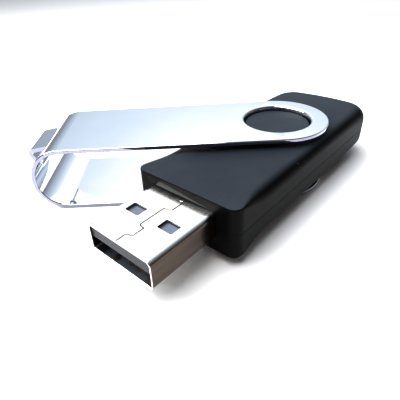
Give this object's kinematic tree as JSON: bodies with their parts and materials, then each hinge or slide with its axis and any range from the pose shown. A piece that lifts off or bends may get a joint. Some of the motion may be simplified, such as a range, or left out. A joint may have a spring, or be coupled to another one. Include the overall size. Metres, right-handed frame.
{
  "type": "usb flash drive",
  "caption": "Swivel flash drive: a rubberised body with a type A plug and a bent steel clip that turns on round bosses to cover the plug.",
  "frame": {"origin": "middle of the plug's section where the plug leaves the body's front face", "axes": "+X is the way the plug is pushed into a socket, +Z is the plug's seam side and the side that faces up when the drive lies on a table, +Y is to the left when looking along +X"},
  "size_m": [0.0575, 0.0467, 0.0114],
  "materials": {
    "soft_touch_body": "black rubberised soft-touch coating over ABS, fine satin grain",
    "polished_steel": "mirror-polished stainless sheet with fine hairline scratches and burnished edges",
    "plug_steel": "nickel-plated steel, satin to bright, with fine drawing marks",
    "insert_plastic": "smooth moulded grey plastic",
    "contact_gold": "gold-plated copper alloy",
    "board_laminate": "glass-fibre laminate under green solder mask",
    "board_copper": "gold-flashed copper",
    "chip_epoxy": "black moulded epoxy, fine matte grain",
    "tinned_leads": "tin-plated leads",
    "crystal_can": "satin nickel-plated can",
    "led_resin": "clear epoxy lens over a white base",
    "capacitor_ceramic": "fired ceramic with tinned ends",
    "resistor_ceramic": "black glazed ceramic",
    "solder": "bright solder"
  },
  "bodies": {
    "body": {"upper_shell": "soft_touch_body", "lower_shell": "soft_touch_body", "usb_shell": "plug_steel", "plug_insert": "insert_plastic", "power_contact": "contact_gold", "data_minus_contact": "contact_gold", "data_plus_contact": "contact_gold", "ground_contact": "contact_gold", "circuit_board": "board_laminate", "board_pads": "board_copper", "controller_chip": "chip_epoxy", "controller_leads": "tinned_leads", "flash_chip": "chip_epoxy", "flash_leads": "tinned_leads", "crystal": "crystal_can", "activity_led": "led_resin", "capacitors": "capacitor_ceramic", "resistors": "resistor_ceramic", "solder_joints": "solder"},
    "clip": {"swivel_clip": "polished_steel"}
  },
  "joints": [
    {"name": "clip_swivel", "type": "hinge", "parent": "body", "child": "clip", "pos_m": [-0.025, 0, 0], "axis": [0, 0, 1], "continuous": true}
  ]
}
